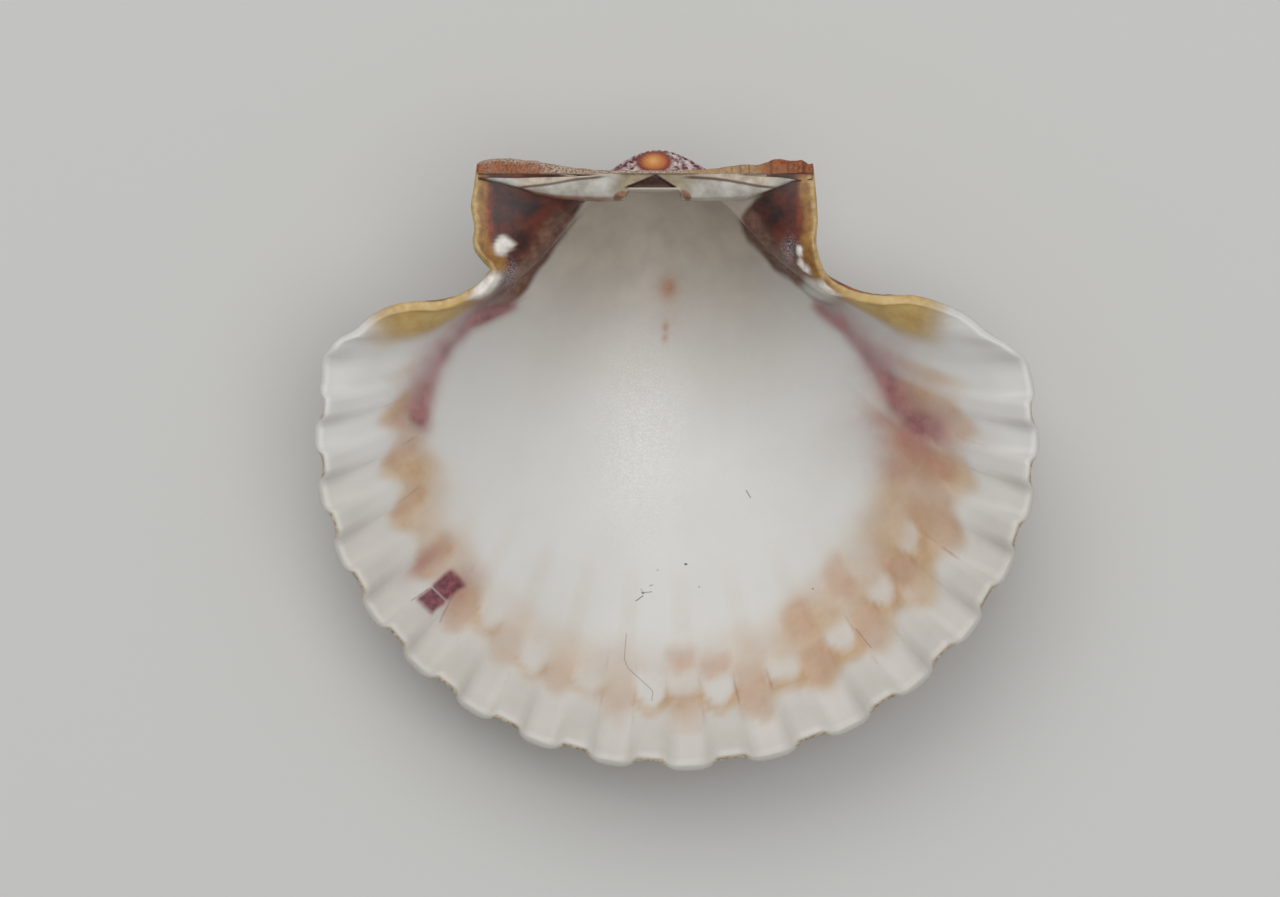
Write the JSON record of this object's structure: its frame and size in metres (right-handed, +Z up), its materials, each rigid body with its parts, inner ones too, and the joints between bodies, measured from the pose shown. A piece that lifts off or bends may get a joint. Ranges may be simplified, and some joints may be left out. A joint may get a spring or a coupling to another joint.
{
  "type": "scallop shell",
  "caption": "One valve of a scallop, a shallow ribbed fan with two ears at its hinge, lying hollow side up on its convex back.",
  "frame": {"origin": "under the middle of the valve, on the surface it lies on", "axes": "+X along the hinge line, +Y from the fan's free edge to the beak, +Z up out of the hollow"},
  "size_m": [0.0726, 0.0622, 0.022],
  "materials": {
    "shell": "smooth calcite, glossy and white inside with tan and maroon margins, mottled outside"
  },
  "bodies": {
    "root": {"valve": "shell"}
  },
  "joints": []
}
